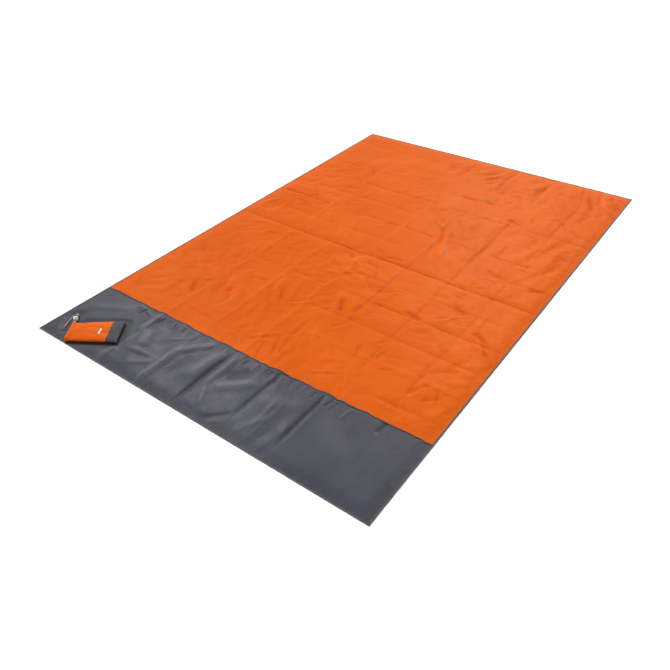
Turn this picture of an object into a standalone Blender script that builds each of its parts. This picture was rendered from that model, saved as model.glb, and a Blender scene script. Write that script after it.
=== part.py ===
"""Camp blanket spread flat, with its own drawstring sack lying on the end panel.

Blender 4.5, metres, +Z up. The origin is the centre of the blanket's underside. +Y runs along
the length, from the contrasting end panel to the far end, and X runs across.
The sack has a frame of its own: its X points from the closed base to the mouth, its Y runs
across the mouth, and its origin lies on the blanket's top face under the middle of the sack.
"""
import math

import bmesh
import bpy
from mathutils import Matrix, Vector

# Blanket
WIDTH = 1.400
LENGTH = 2.100
END_PANEL = 0.317           # from the near edge to the seam
CLOTH = 0.0008
TRIM_HEIGHT = 0.0014        # binding and seam, folded and stitched, stand this high
BINDING_WIDTH = 0.005
SEAM_WIDTH = 0.006
GAP = 0.0003                # left between pieces that touch
CREASE_GAP = 0.0006         # between the near and far halves, at the cross crease
FOLD_AXIS_Z = 0.0020        # the far half swings over about this height

# Sack
SACK_CENTRE = (-0.5091, -0.9547)
SACK_TURN = math.radians(214.5)
SACK_LENGTH = 0.1848
SACK_BASE_WIDTH = 0.115
SACK_MOUTH_WIDTH = 0.094
SACK_HEIGHT = 0.0142
SACK_CLOTH = 0.0006
BASE_LENGTH = 0.040         # the contrasting base piece
HEM_WIDTH = 0.012
HEM_THICKNESS = 0.0046      # one run of the drawcord channel
LOFT_POWER = 0.6            # roundness of the sack's sides, 1 is an ellipse
SIDE_GAP = 0.00045          # between the front's and the back's edges, in height

# Drawcord
CORD_DIAMETER = 0.003
CHANNEL_WALL = 0.0005
CORD_START = -0.0430        # across the mouth: where the tails take over from the loop
CORD_POINT_SPACING = 0.003
TAIL_OFFSET = 0.00165       # each tail's distance from the middle of the pair

# Cord lock
LOCK_PLACE = (0.0924, -0.0725)
BARREL_RADIUS = 0.0085
BARREL_POWER = 2.6
BARREL_RIM_Z = 0.0065
BORE_RADIUS = 0.0050
BORE_FLOOR_Z = -0.0070
PLUNGER_RADIUS = 0.0047
PLUNGER_TOP_Z = 0.0090
PLUNGER_FLOOR_Z = -0.0029
PLUNGER_DOME = 0.0014
PRESS_TRAVEL = 0.0020
SLOT_HALF_WIDTH = 0.00365
SLOT_HALF_HEIGHT = 0.0019
SPRING_RADIUS = 0.0032
SPRING_WIRE = 0.0005
SPRING_TURNS = 3
TURN_STEPS = 24

HALF_WIDTH = WIDTH / 2
HALF_LENGTH = LENGTH / 2
SEAM_Y = END_PANEL - HALF_LENGTH
SACK_MID_Z = GAP + SACK_HEIGHT / 2
SACK_SEAM_X = BASE_LENGTH - SACK_LENGTH / 2
HEM_START_X = SACK_LENGTH / 2 - HEM_WIDTH
HEM_MID_X = SACK_LENGTH / 2 - HEM_WIDTH / 2
CORD_RUN_Z = (SACK_HEIGHT - HEM_THICKNESS) / 2     # cord above and below the sack's mid height
CORD_REST_Z = GAP + CORD_DIAMETER / 2
LOCK_Z = GAP + BARREL_RADIUS

# The pair of tails, along its middle: straight through the lock, round, and back to the knot
TAIL_ROUTE = [
    (0.0924, -0.0615, LOCK_Z), (0.0924, -0.0650, LOCK_Z), (0.0924, -0.0740, LOCK_Z),
    (0.0924, -0.0840, LOCK_Z), (0.0924, -0.0930, LOCK_Z), (0.0936, -0.0990, 0.0080),
    (0.0975, -0.1030, 0.0058), (0.1035, -0.1035, 0.0036), (0.1090, -0.1000, 0.0023),
    (0.1122, -0.0930, 0.0019), (0.1145, -0.0820, CORD_REST_Z), (0.1170, -0.0690, CORD_REST_Z),
    (0.1190, -0.0560, CORD_REST_Z), (0.1195, -0.0440, CORD_REST_Z), (0.1192, -0.0385, CORD_REST_Z),
]
KNOT_SIZE = (0.0096, 0.0090, 0.0080)


# ---------------------------------------------------------------- helpers

def clear_scene():
    for obj in list(bpy.data.objects):
        bpy.data.objects.remove(obj, do_unlink=True)


def make_collection(name):
    collection = bpy.data.collections.new(name)
    bpy.context.scene.collection.children.link(collection)
    return collection


def make_material(name, colour, roughness, metallic=0.0):
    material = bpy.data.materials.new(name)
    material.use_nodes = True
    shader = material.node_tree.nodes["Principled BSDF"]
    shader.inputs["Base Color"].default_value = (*colour, 1.0)
    shader.inputs["Roughness"].default_value = roughness
    shader.inputs["Metallic"].default_value = metallic
    return material


def make_empty(name, location, turn=0.0, parent=None):
    empty = bpy.data.objects.new(name, None)
    empty.location = location
    empty.rotation_euler = (0.0, 0.0, turn)
    empty.parent = parent
    parts.objects.link(empty)
    return empty


def add_object(name, data, material, parent=None, place=Matrix.Identity(4), collection=None):
    obj = bpy.data.objects.new(name, data)
    if material:
        data.materials.append(material)
    obj.parent = parent
    obj.matrix_local = place
    (collection or parts).objects.link(obj)
    return obj


def mesh_from(bm, name):
    mesh = bpy.data.meshes.new(name)
    bm.to_mesh(mesh)
    bm.free()
    return mesh


def add_box(name, low, high, material, parent=None):
    """A box between two corners given in world metres; its object stands at its parent."""
    origin = parent.location if parent else Vector((0.0, 0.0, 0.0))
    low, high = Vector(low) - origin, Vector(high) - origin
    bm = bmesh.new()
    place = Matrix.Translation((low + high) / 2) @ Matrix.Diagonal((*(high - low), 1.0))
    bmesh.ops.create_cube(bm, size=1.0, matrix=place)
    return add_object(name, mesh_from(bm, name), material, parent)


def add_outline(name, points, half_depth, material, parent, place, collection=None):
    """A flat outline filled and extruded both ways, made a welded mesh."""
    curve = bpy.data.curves.new(name + "_outline", "CURVE")
    curve.dimensions = "2D"
    curve.fill_mode = "BOTH"
    curve.extrude = half_depth
    spline = curve.splines.new("POLY")
    spline.points.add(len(points) - 1)
    for point, (x, y) in zip(spline.points, points):
        point.co = (x, y, 0.0, 1.0)
    spline.use_cyclic_u = True
    guide = bpy.data.objects.new(name + "_outline", curve)
    parts.objects.link(guide)
    bpy.context.view_layer.update()
    depsgraph = bpy.context.evaluated_depsgraph_get()
    mesh = bpy.data.meshes.new_from_object(guide.evaluated_get(depsgraph))
    bpy.data.objects.remove(guide, do_unlink=True)
    bm = bmesh.new()
    bm.from_mesh(mesh)
    bmesh.ops.remove_doubles(bm, verts=bm.verts, dist=1e-6)
    bmesh.ops.recalc_face_normals(bm, faces=bm.faces)
    bm.to_mesh(mesh)
    bm.free()
    return add_object(name, mesh, material, parent, place, collection)


def add_bent_grid(name, rows, columns, shape, material, parent):
    """A cloth sheet: a grid laid out by shape(s, t), with s and t from 0 to 1, made thick inwards."""
    bm = bmesh.new()
    bmesh.ops.create_grid(bm, x_segments=rows, y_segments=columns, size=1.0)
    for vert in bm.verts:
        vert.co = shape((vert.co.x + 1) / 2, (vert.co.y + 1) / 2)
    bmesh.ops.remove_doubles(bm, verts=bm.verts, dist=1e-6)
    obj = add_object(name, mesh_from(bm, name), material, parent)
    obj.data.shade_smooth()
    solidify = obj.modifiers.new("cloth", "SOLIDIFY")
    solidify.thickness = SACK_CLOTH
    solidify.offset = -1.0
    return obj


def add_turned(name, profile, material, parent):
    """A turned piece. The profile is (radius, height) pairs, down its outer side."""
    bm = bmesh.new()
    verts = [bm.verts.new((radius, 0.0, height)) for radius, height in profile]
    for start, end in zip(verts, verts[1:]):
        bm.edges.new((start, end))
    obj = add_object(name, mesh_from(bm, name), material, parent)
    screw = obj.modifiers.new("turn", "SCREW")
    screw.axis = "Z"
    screw.angle = math.tau
    screw.steps = TURN_STEPS
    screw.render_steps = TURN_STEPS
    screw.use_merge_vertices = True
    screw.merge_threshold = 0.00001
    screw.use_smooth_shade = True
    return obj


def cut(obj, cutter):
    cutter.hide_render = True
    cutter.display_type = "WIRE"
    boolean = obj.modifiers.new("cut_" + cutter.name, "BOOLEAN")
    boolean.operation = "DIFFERENCE"
    boolean.solver = "EXACT"
    boolean.object = cutter


def add_tube(name, points, diameter, material, parent):
    """A round cord or wire along the points, with filled ends."""
    curve = bpy.data.curves.new(name, "CURVE")
    curve.dimensions = "3D"
    curve.bevel_depth = diameter / 2
    curve.bevel_resolution = 2
    curve.use_fill_caps = True
    spline = curve.splines.new("POLY")
    spline.points.add(len(points) - 1)
    for point, place in zip(spline.points, points):
        point.co = (*place, 1.0)
    return add_object(name, curve, material, parent)


def smooth_route(points, spacing):
    """Points about a spacing apart on a centripetal Catmull-Rom curve through the route."""
    points = [Vector(point) for point in points]
    chain = [2 * points[0] - points[1], *points, 2 * points[-1] - points[-2]]
    result = []
    for before, start, end, after in zip(chain, chain[1:], chain[2:], chain[3:]):
        knots = [0.0]
        for one, two in ((before, start), (start, end), (end, after)):
            knots.append(knots[-1] + math.sqrt((two - one).length))

        def between(one, two, low, high, at):
            return one.lerp(two, (at - knots[low]) / (knots[high] - knots[low]))

        pieces = max(1, round((end - start).length / spacing))
        for step in range(pieces):
            at = knots[1] + (knots[2] - knots[1]) * step / pieces
            first = between(before, start, 0, 1, at)
            second = between(start, end, 1, 2, at)
            third = between(end, after, 2, 3, at)
            near = between(first, second, 0, 2, at)
            far = between(second, third, 1, 3, at)
            result.append(between(near, far, 1, 2, at))
    result.append(points[-1])
    return result


def beside(points, offset):
    """The same route shifted sideways in plan, to the left of its direction."""
    result = []
    for index, point in enumerate(points):
        before = points[max(index - 1, 0)]
        after = points[min(index + 1, len(points) - 1)]
        run, rise = after[0] - before[0], after[1] - before[1]
        length = math.hypot(run, rise)
        result.append((point[0] - rise / length * offset, point[1] + run / length * offset, point[2]))
    return result


# ---------------------------------------------------------------- blanket

def build_blanket():
    edge_x = HALF_WIDTH - BINDING_WIDTH - GAP
    end_y = HALF_LENGTH - BINDING_WIDTH - GAP
    crease = CREASE_GAP / 2
    seam_low, seam_high = SEAM_Y - SEAM_WIDTH / 2, SEAM_Y + SEAM_WIDTH / 2
    far_half = make_empty("far_half_axis", (0.0, 0.0, FOLD_AXIS_Z))

    add_box("end_panel", (-edge_x, -end_y, 0.0), (edge_x, seam_low - GAP, CLOTH), grey_cloth)
    add_box("panel_seam", (-edge_x, seam_low, 0.0), (edge_x, seam_high, TRIM_HEIGHT), grey_trim)
    add_box("main_panel_near", (-edge_x, seam_high + GAP, 0.0), (edge_x, -crease, CLOTH), orange_cloth)
    add_box("main_panel_far", (-edge_x, crease, 0.0), (edge_x, end_y, CLOTH), orange_cloth, far_half)

    add_box("binding_near_end", (-HALF_WIDTH, -HALF_LENGTH, 0.0),
            (HALF_WIDTH, -HALF_LENGTH + BINDING_WIDTH, TRIM_HEIGHT), grey_trim)
    add_box("binding_far_end", (-HALF_WIDTH, HALF_LENGTH - BINDING_WIDTH, 0.0),
            (HALF_WIDTH, HALF_LENGTH, TRIM_HEIGHT), grey_trim, far_half)
    for side, low_x in (("left", -HALF_WIDTH), ("right", HALF_WIDTH - BINDING_WIDTH)):
        high_x = low_x + BINDING_WIDTH
        add_box(f"binding_{side}_near", (low_x, -end_y, 0.0), (high_x, -crease, TRIM_HEIGHT), grey_trim)
        add_box(f"binding_{side}_far", (low_x, crease, 0.0), (high_x, end_y, TRIM_HEIGHT),
                grey_trim, far_half)


# ---------------------------------------------------------------- sack

def sack_half_width(x):
    """The sack is wider at its base than at its mouth."""
    share = (x + SACK_LENGTH / 2) / SACK_LENGTH
    return ((1 - share) * SACK_BASE_WIDTH + share * SACK_MOUTH_WIDTH) / 2


def loft_point(x, angle, flatness=1.0):
    """A point of the sack's section at x; angle 0 is the side at +Y, a quarter turn is the top."""
    across = math.copysign(abs(math.cos(angle)) ** LOFT_POWER, math.cos(angle))
    up = math.copysign(abs(math.sin(angle)) ** LOFT_POWER, math.sin(angle))
    height = SACK_HEIGHT / 2 * flatness * up
    return (x, sack_half_width(x) * across, SACK_MID_Z + height)


def build_sack_panels():
    start_x, end_x = SACK_SEAM_X + GAP / 2, HEM_START_X - GAP
    margin = (SIDE_GAP / SACK_HEIGHT) ** (1 / LOFT_POWER)

    def front(s, t):
        return loft_point(start_x + (end_x - start_x) * s, math.pi - margin - (math.pi - 2 * margin) * t)

    def back(s, t):
        return loft_point(start_x + (end_x - start_x) * s, -margin - (math.pi - 2 * margin) * t)

    def base(s, t):
        bend = s * math.pi / 2
        x = SACK_SEAM_X - GAP / 2 - (BASE_LENGTH - GAP / 2) * math.sin(bend) ** LOFT_POWER
        return loft_point(x, math.tau * t, max(math.cos(bend), 0.0) ** LOFT_POWER)

    add_bent_grid("sack_front_panel", 6, 14, front, orange_cloth, sack)
    add_bent_grid("sack_back_panel", 6, 14, back, orange_cloth, sack)
    add_bent_grid("sack_base", 7, 28, base, grey_cloth, sack)


def hem_band(start_y, outer, inner, steps=10):
    """Outline of the folded hem seen along the sack: two runs joined round the far side."""
    centre_y = SACK_MOUTH_WIDTH / 2 - SACK_HEIGHT / 2
    bend = [math.pi / 2 - math.pi * step / steps for step in range(steps + 1)]
    points = [(start_y, outer)]
    points += [(centre_y + outer * math.cos(angle), outer * math.sin(angle)) for angle in bend]
    points += [(start_y, -outer), (start_y, -inner)]
    points += [(centre_y + inner * math.cos(angle), inner * math.sin(angle)) for angle in reversed(bend)]
    points += [(start_y, inner)]
    return points


def build_sack_hem():
    """The drawcord channel: a folded tube of cloth right round the mouth, open at the lock's side."""
    outer, inner = SACK_HEIGHT / 2, SACK_HEIGHT / 2 - HEM_THICKNESS
    start_y = -SACK_MOUTH_WIDTH / 2
    along_sack = Matrix(((0, 0, 1, HEM_MID_X), (1, 0, 0, 0), (0, 1, 0, SACK_MID_Z), (0, 0, 0, 1)))
    hem = add_outline("sack_hem", hem_band(start_y, outer, inner), HEM_WIDTH / 2,
                      orange_cloth, sack, along_sack)
    channel = add_outline("hem_channel",
                          hem_band(start_y - HEM_WIDTH, outer - CHANNEL_WALL, inner + CHANNEL_WALL),
                          HEM_WIDTH / 2 - CHANNEL_WALL, None, sack, along_sack, cutters)
    cut(hem, channel)


# ---------------------------------------------------------------- drawcord

def build_drawcord():
    centre_y = SACK_MOUTH_WIDTH / 2 - SACK_HEIGHT / 2
    bend = [math.pi / 2 - math.pi * step / 10 for step in range(11)]
    loop = [(HEM_MID_X, CORD_START, SACK_MID_Z + CORD_RUN_Z)]
    loop += [(HEM_MID_X, centre_y + CORD_RUN_Z * math.cos(angle), SACK_MID_Z + CORD_RUN_Z * math.sin(angle))
             for angle in bend]
    loop += [(HEM_MID_X, CORD_START, SACK_MID_Z - CORD_RUN_Z)]
    add_tube("drawcord_loop", loop, CORD_DIAMETER, cord_braid, sack)

    for name, height, offset in (("drawcord_tail_a", CORD_RUN_Z, TAIL_OFFSET),
                                 ("drawcord_tail_b", -CORD_RUN_Z, -TAIL_OFFSET)):
        inside = [(HEM_MID_X, CORD_START - GAP, SACK_MID_Z + height),
                  (HEM_MID_X, -SACK_MOUTH_WIDTH / 2 - GAP, SACK_MID_Z + height)]
        route = smooth_route(inside + beside(TAIL_ROUTE, offset), CORD_POINT_SPACING)
        add_tube(name, route, CORD_DIAMETER, cord_braid, sack)

    end_x, end_y, _ = TAIL_ROUTE[-1]
    bm = bmesh.new()
    place = Matrix.Translation((end_x, end_y + GAP + KNOT_SIZE[1] / 2, GAP + KNOT_SIZE[2] / 2))
    bmesh.ops.create_uvsphere(bm, u_segments=16, v_segments=10, radius=0.5,
                              matrix=place @ Matrix.Diagonal((*KNOT_SIZE, 1.0)))
    knot = add_object("cord_knot", mesh_from(bm, "cord_knot"), cord_braid, sack)
    knot.data.shade_smooth()


# ---------------------------------------------------------------- cord lock

def slot_outline(low, high, steps=6):
    """A slot seen along the cords: straight sides and round corners."""
    radius = SLOT_HALF_HEIGHT
    reach = SLOT_HALF_WIDTH - radius
    points = []
    for quarter, (x, y) in enumerate(((reach, high - radius), (-reach, high - radius),
                                      (-reach, low + radius), (reach, low + radius))):
        for step in range(steps + 1):
            angle = (quarter + step / steps) * math.pi / 2
            points.append((x + radius * math.cos(angle), y + radius * math.sin(angle)))
    return points


def add_slot_cutter(name, low, high):
    """A cutter through the lock along the cords, from below the axis to above it."""
    across_lock = Matrix(((1, 0, 0, 0), (0, 0, -1, 0), (0, 1, 0, 0), (0, 0, 0, 1)))
    return add_outline(name, slot_outline(low, high), 2 * BARREL_RADIUS, None, lock, across_lock, cutters)


def build_lock():
    """Barrel, plunger and spring. The cords pass through both, and the spring pinches them."""
    outer = []
    for step in range(12):
        height = BARREL_RIM_Z - (BARREL_RIM_Z + BARREL_RADIUS) * (1 - math.cos(math.pi * step / 11)) / 2
        share = 1 - (abs(height) / BARREL_RADIUS) ** BARREL_POWER
        outer.append((BARREL_RADIUS * max(share, 0.0) ** (1 / BARREL_POWER), height))
    bore = [(0.0, BORE_FLOOR_Z), (BORE_RADIUS, BORE_FLOOR_Z), (BORE_RADIUS, BARREL_RIM_Z)]
    barrel = add_turned("cord_lock_barrel", bore + outer, white_plastic, lock)
    cut(barrel, add_slot_cutter("barrel_slot", -SLOT_HALF_HEIGHT, SLOT_HALF_HEIGHT))

    dome = []
    for step in range(5):
        angle = math.pi / 2 * step / 4
        dome.append((PLUNGER_RADIUS * math.sin(angle),
                     PLUNGER_TOP_Z - PLUNGER_DOME * (1 - math.cos(angle))))
    stem = [(PLUNGER_RADIUS, PLUNGER_FLOOR_Z), (0.0, PLUNGER_FLOOR_Z)]
    plunger = add_turned("cord_lock_plunger", dome + stem, white_plastic, lock)
    cut(plunger, add_slot_cutter("plunger_slot", -SLOT_HALF_HEIGHT, SLOT_HALF_HEIGHT + PRESS_TRAVEL))

    low = BORE_FLOOR_Z + GAP + SPRING_WIRE / 2
    high = PLUNGER_FLOOR_Z - GAP - SPRING_WIRE / 2
    steps = SPRING_TURNS * 12
    coil = []
    for step in range(steps + 1):
        angle = math.tau * SPRING_TURNS * step / steps
        coil.append((SPRING_RADIUS * math.cos(angle), SPRING_RADIUS * math.sin(angle),
                     low + (high - low) * step / steps))
    add_tube("cord_lock_spring", coil, SPRING_WIRE, spring_steel, lock)


clear_scene()
parts = make_collection("camp_blanket")
cutters = make_collection("cutters")
orange_cloth = make_material("orange_cloth", (0.76, 0.112, 0.013), 0.45)
grey_cloth = make_material("grey_cloth", (0.089, 0.093, 0.112), 0.45)
grey_trim = make_material("grey_trim", (0.045, 0.045, 0.052), 0.8)
cord_braid = make_material("cord_braid", (0.22, 0.19, 0.18), 0.85)
white_plastic = make_material("white_plastic", (0.80, 0.80, 0.78), 0.35)
spring_steel = make_material("spring_steel", (0.55, 0.55, 0.55), 0.35, 1.0)

build_blanket()
sack = make_empty("sack_frame", (*SACK_CENTRE, CLOTH), SACK_TURN)
build_sack_panels()
build_sack_hem()
build_drawcord()
lock = make_empty("lock_frame", (*LOCK_PLACE, LOCK_Z), parent=sack)
build_lock()
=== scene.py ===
"""Camp blanket with its drawstring sack: the visible model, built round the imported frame.

Metres, in the frame's own axes: +Y runs from the grey end panel to the far end, X runs across
and +Z is up. The sack's pieces are made in the sack's own frame: X from its closed base to its
mouth, Y across the mouth.
"""
import math
import random

import bmesh
import bpy
import numpy as np
from mathutils import Matrix, Vector


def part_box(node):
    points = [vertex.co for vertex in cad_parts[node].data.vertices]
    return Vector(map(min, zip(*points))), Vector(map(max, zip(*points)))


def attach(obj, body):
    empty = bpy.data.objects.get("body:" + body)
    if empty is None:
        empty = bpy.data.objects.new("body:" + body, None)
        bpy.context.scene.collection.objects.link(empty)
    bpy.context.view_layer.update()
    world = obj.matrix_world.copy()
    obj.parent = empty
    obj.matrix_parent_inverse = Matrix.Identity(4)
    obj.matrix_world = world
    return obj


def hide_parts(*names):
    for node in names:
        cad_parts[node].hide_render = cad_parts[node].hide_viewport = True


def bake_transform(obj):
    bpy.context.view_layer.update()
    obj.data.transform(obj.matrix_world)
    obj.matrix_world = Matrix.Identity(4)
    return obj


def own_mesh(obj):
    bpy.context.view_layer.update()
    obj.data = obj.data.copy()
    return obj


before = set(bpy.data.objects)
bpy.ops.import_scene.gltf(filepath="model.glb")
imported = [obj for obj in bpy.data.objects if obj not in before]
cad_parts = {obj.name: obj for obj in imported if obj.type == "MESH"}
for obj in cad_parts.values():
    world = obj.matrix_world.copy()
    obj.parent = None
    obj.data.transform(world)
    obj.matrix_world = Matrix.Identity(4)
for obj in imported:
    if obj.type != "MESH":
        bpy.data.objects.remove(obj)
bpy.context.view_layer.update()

# Blanket, from the frame
HALF_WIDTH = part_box("binding_right_near")[1].x
HALF_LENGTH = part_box("binding_far_end")[1].y
SEAM_Y = (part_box("panel_seam")[0].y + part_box("panel_seam")[1].y) / 2
TAPE_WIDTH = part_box("binding_far_end")[1].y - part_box("binding_far_end")[0].y
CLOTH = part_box("end_panel")[1].z
GAP = 0.0003

# Packing creases: the blanket is folded into 8 columns and 16 rows
COLUMN = 0.1835
COLUMN_SHIFT = -0.02
ROW = 0.1312

# Sack, as in the frame
SACK_CENTRE = (-0.5091, -0.9547)
SACK_TURN = math.radians(214.5)
SACK_LENGTH = 0.1848
SACK_BASE_WIDTH = 0.115
SACK_MOUTH_WIDTH = 0.094
SACK_HEIGHT = 0.0142
BASE_LENGTH = 0.040
HEM_WIDTH = 0.012
HEM_THICKNESS = 0.0046
SACK_MID_Z = GAP + SACK_HEIGHT / 2
SACK_SEAM_X = BASE_LENGTH - SACK_LENGTH / 2
HEM_START_X = SACK_LENGTH / 2 - HEM_WIDTH
HEM_MID_X = SACK_LENGTH / 2 - HEM_WIDTH / 2
MOUTH_TURN_Y = SACK_MOUTH_WIDTH / 2 - SACK_HEIGHT / 2

# Drawcord
CORD_DIAMETER = 0.003
CORD_START = -0.0430
CORD_RUN_Z = (SACK_HEIGHT - HEM_THICKNESS) / 2
CORD_REST_Z = GAP + CORD_DIAMETER / 2
TAIL_OFFSET = 0.00165
CARRIERS = 6
BRAID_PITCH = 0.0017
BRAID_STEP = 0.00034
BRAID_SIDES = 36

# Cord lock
LOCK_PLACE = (0.0924, -0.0725)
BARREL_RADIUS = 0.0085
LOCK_Z = GAP + BARREL_RADIUS

TAIL_ROUTE = [
    (0.0924, -0.0615, LOCK_Z), (0.0924, -0.0650, LOCK_Z), (0.0924, -0.0740, LOCK_Z),
    (0.0924, -0.0840, LOCK_Z), (0.0924, -0.0930, LOCK_Z), (0.0936, -0.0990, 0.0080),
    (0.0975, -0.1030, 0.0058), (0.1035, -0.1035, 0.0036), (0.1090, -0.1000, 0.0023),
    (0.1122, -0.0930, 0.0019), (0.1145, -0.0820, CORD_REST_Z), (0.1170, -0.0690, CORD_REST_Z),
    (0.1190, -0.0560, CORD_REST_Z), (0.1195, -0.0440, CORD_REST_Z), (0.1192, -0.0385, CORD_REST_Z),
]
KNOT_CENTRE = (0.1192, -0.0337, 0.0043)

SACK_PLACE = Matrix.Translation((*SACK_CENTRE, CLOTH)) @ Matrix.Rotation(SACK_TURN, 4, "Z")


# ---------------------------------------------------------------- numbers

def fade(t):
    t = np.clip(t, 0.0, 1.0)
    return t * t * (3 - 2 * t)


def between_corners(corner, right, up):
    """A value inside a square, from a function that gives the value at each corner."""
    near = corner(0, 0) * (1 - right) + corner(1, 0) * right
    far = corner(0, 1) * (1 - right) + corner(1, 1) * right
    return near * (1 - up) + far * up


def noise(x, y, seed):
    """A smooth random field from about -1 to 1, with one hump or hollow to a unit."""
    column, row = np.floor(x).astype(np.int64), np.floor(y).astype(np.int64)
    across, along = x - column, y - row

    def corner(right, up):
        mixed = ((column + right) * 374761393 + (row + up) * 668265263 + seed * 974634777) & 0xFFFFFFFF
        mixed = ((mixed ^ (mixed >> 13)) * 1274126177) & 0xFFFFFFFF
        angle = (mixed ^ (mixed >> 16)) / 2.0 ** 32 * math.tau
        return np.cos(angle) * (across - right) + np.sin(angle) * (along - up)

    return 1.5 * between_corners(corner, fade(across), fade(along))


def folds(x, y, seed, softness=0.12):
    """Random facets with rounded ridges between them, 0 to about 1."""
    value = noise(x, y, seed)
    return 1 - np.sqrt(value * value + softness * softness)


def positive(value, softness):
    """The value where it is above 0 and 0 below, with a rounded turn between."""
    return (value + np.sqrt(value * value + softness * softness)) / 2


def crease(distance, width, tip=0.0016):
    """1 on a crease, falling off over about its width."""
    return np.exp(-(np.sqrt(distance * distance + tip * tip) - tip) / width)


def outside(value, low, high):
    """How far the value lies beyond a range."""
    return np.maximum(np.maximum(low - value, value - high), 0.0)


def along_across(x, y, at, turn):
    """Distances along and across a direction, from a place."""
    dx, dy = x - at[0], y - at[1]
    return dx * math.cos(turn) + dy * math.sin(turn), dy * math.cos(turn) - dx * math.sin(turn)


def stroke(x, y, at, angle, length, width, height, bend=0.0, lean=0.0):
    """A short wrinkle. Bend curves it, and lean turns a ridge into a ridge beside a hollow."""
    along, across = along_across(x, y, at, math.radians(angle))
    across = (across - bend * along * along / length) / width
    ends = fade(1.7 * (1.0 - np.abs(along) / (length / 2)))
    return height * ends * np.exp(-across * across) * (1 - lean + lean * 2.3 * across)


# ---------------------------------------------------------------- mesh helpers

def add_mesh(name, verts, faces, material, place=Matrix.Identity(4), values=None, weld=False):
    """A smooth mesh. It keeps where each point lies as made, for its material, and named values."""
    mesh = bpy.data.meshes.new(name)
    verts = np.asarray(verts, float).reshape(-1, 3)
    mesh.from_pydata(verts.tolist(), [], [tuple(face) for face in faces])
    attribute = mesh.attributes.new("place", "FLOAT_VECTOR", "POINT")
    attribute.data.foreach_set("vector", verts.astype(np.float32).ravel())
    for key, value in (values or {}).items():
        attribute = mesh.attributes.new(key, "FLOAT", "POINT")
        attribute.data.foreach_set("value", np.asarray(value, np.float32).ravel())
    if weld:
        bm = bmesh.new()
        bm.from_mesh(mesh)
        bmesh.ops.remove_doubles(bm, verts=bm.verts, dist=1e-6)
        bmesh.ops.recalc_face_normals(bm, faces=bm.faces)
        bm.to_mesh(mesh)
        bm.free()
    mesh.shade_smooth()
    mesh.materials.append(material)
    obj = bpy.data.objects.new(name, mesh)
    bpy.context.scene.collection.objects.link(obj)
    obj.matrix_world = place
    return obj


def finish_piece(piece, body, slot, *nodes):
    """Puts a piece on its body, or bakes its place into its mesh when it has none, and hides its CAD nodes.
    The slot is not used.
    """
    if body:
        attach(piece, body)
    else:
        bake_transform(piece)
    if nodes:
        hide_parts(*nodes)


def grid_faces(rows, columns, wrap_rows=False, wrap_columns=False):
    """Quads of a grid of points kept row by row."""
    row = np.arange(rows if wrap_rows else rows - 1)[:, None]
    column = np.arange(columns if wrap_columns else columns - 1)[None, :]
    next_row, next_column = (row + 1) % rows, (column + 1) % columns
    quads = np.stack(np.broadcast_arrays(row * columns + column, row * columns + next_column,
                                         next_row * columns + next_column, next_row * columns + column), -1)
    return quads.reshape(-1, 4).tolist()


def tube_faces(rings, sides, inside_out=False):
    """Quads of a tube of rings, and a face over each end."""
    faces = grid_faces(rings, sides, wrap_columns=True)
    faces += [list(range(sides))[::-1], list(range((rings - 1) * sides, rings * sides))]
    return [face[::-1] for face in faces] if inside_out else faces


def points_at(x, y, z):
    """Points from their coordinates, each an array or a number."""
    return np.stack(np.broadcast_arrays(x, y, z), -1)


def full_turn(steps):
    return np.arange(steps) / steps * math.tau


def lengths_along(line):
    return np.concatenate([[0.0], np.cumsum(np.linalg.norm(np.diff(line, axis=0), axis=1))])


def at_lengths(at, far, line):
    """Points of a line at lengths along it, from the lengths of its own points."""
    return np.stack([np.interp(at, far, line[:, axis]) for axis in range(3)], -1)


def resampled(line, step):
    """The same line with its points one step apart."""
    line = np.asarray(line, float)
    far = lengths_along(line)
    at = np.linspace(0.0, far[-1], max(2, round(far[-1] / step) + 1))
    return at_lengths(at, far, line)


def frames_along(line):
    """A side and an up vector at each point, turning as little as they can along the line."""
    tangents = np.gradient(line, axis=0)
    tangents /= np.linalg.norm(tangents, axis=1)[:, None]
    side = np.cross(tangents[0], (0.0, 0.0, 1.0))
    if np.linalg.norm(side) < 0.1:
        side = np.cross(tangents[0], (1.0, 0.0, 0.0))
    sides = []
    for tangent in tangents:
        side = side - tangent * (side @ tangent)
        side = side / np.linalg.norm(side)
        sides.append(side)
    sides = np.array(sides)
    return sides, np.cross(sides, tangents)


def circles_along(line, steps):
    """Directions all round each point of a line, square to it."""
    sides, ups = frames_along(line)
    angle = full_turn(steps)[:, None]
    return np.cos(angle) * sides[:, None] + np.sin(angle) * ups[:, None]


def braid_surface(angle, far):
    """Height from 0 to 1 and tone of a braid of flat strands that pass over and under."""
    round_it = angle / math.tau * CARRIERS
    first, second = round_it + far / BRAID_PITCH / 2, round_it - far / BRAID_PITCH / 2
    first_on_top = (np.floor(first) + np.floor(second)) % 2 == 0
    a, b = np.cos(math.pi * (first % 1 - 0.5)), np.cos(math.pi * (second % 1 - 0.5))
    across, along = np.where(first_on_top, a, b), np.where(first_on_top, b, a)
    tone = np.where(first_on_top, np.floor(first) % 3 == 0, np.floor(second) % 2 == 0)
    return across ** 0.5 * (0.55 + 0.45 * along ** 0.5), tone * 1.0


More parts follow.
